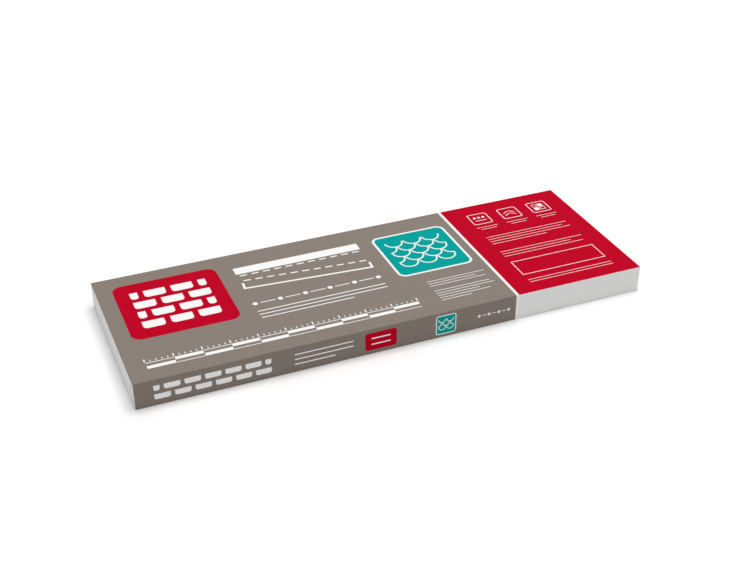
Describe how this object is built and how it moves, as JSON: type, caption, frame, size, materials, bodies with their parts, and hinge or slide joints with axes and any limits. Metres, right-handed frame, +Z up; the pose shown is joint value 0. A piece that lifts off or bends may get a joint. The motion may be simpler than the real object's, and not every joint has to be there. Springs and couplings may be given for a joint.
{
  "type": "asphalt shingle bundle",
  "caption": "Flat bundle of stacked, perforated asphalt starter-shingle sheets in a folded and glued printed paper wrap.",
  "frame": {"origin": "middle of the bundle's underside, on the floor it lies on", "axes": "+X along the bundle's length, towards the solid-colour end of the print; -Y is the long side that the print's reader faces; +Z up through the stack"},
  "size_m": [0.9704, 0.3408, 0.0521],
  "materials": {
    "printed_wrap": "satin",
    "asphalt_sheet": "matte"
  },
  "bodies": {
    "root": {"printed_wrap": "printed_wrap", "starter_sheet_01": "asphalt_sheet", "starter_sheet_02": "asphalt_sheet", "starter_sheet_03": "asphalt_sheet", "starter_sheet_04": "asphalt_sheet", "starter_sheet_05": "asphalt_sheet", "starter_sheet_06": "asphalt_sheet", "starter_sheet_07": "asphalt_sheet", "starter_sheet_08": "asphalt_sheet", "starter_sheet_09": "asphalt_sheet", "starter_sheet_10": "asphalt_sheet", "starter_sheet_11": "asphalt_sheet", "starter_sheet_12": "asphalt_sheet", "starter_sheet_13": "asphalt_sheet", "starter_sheet_14": "asphalt_sheet", "starter_sheet_15": "asphalt_sheet", "starter_sheet_16": "asphalt_sheet", "starter_sheet_17": "asphalt_sheet", "starter_sheet_18": "asphalt_sheet", "starter_sheet_19": "asphalt_sheet"}
  },
  "joints": []
}
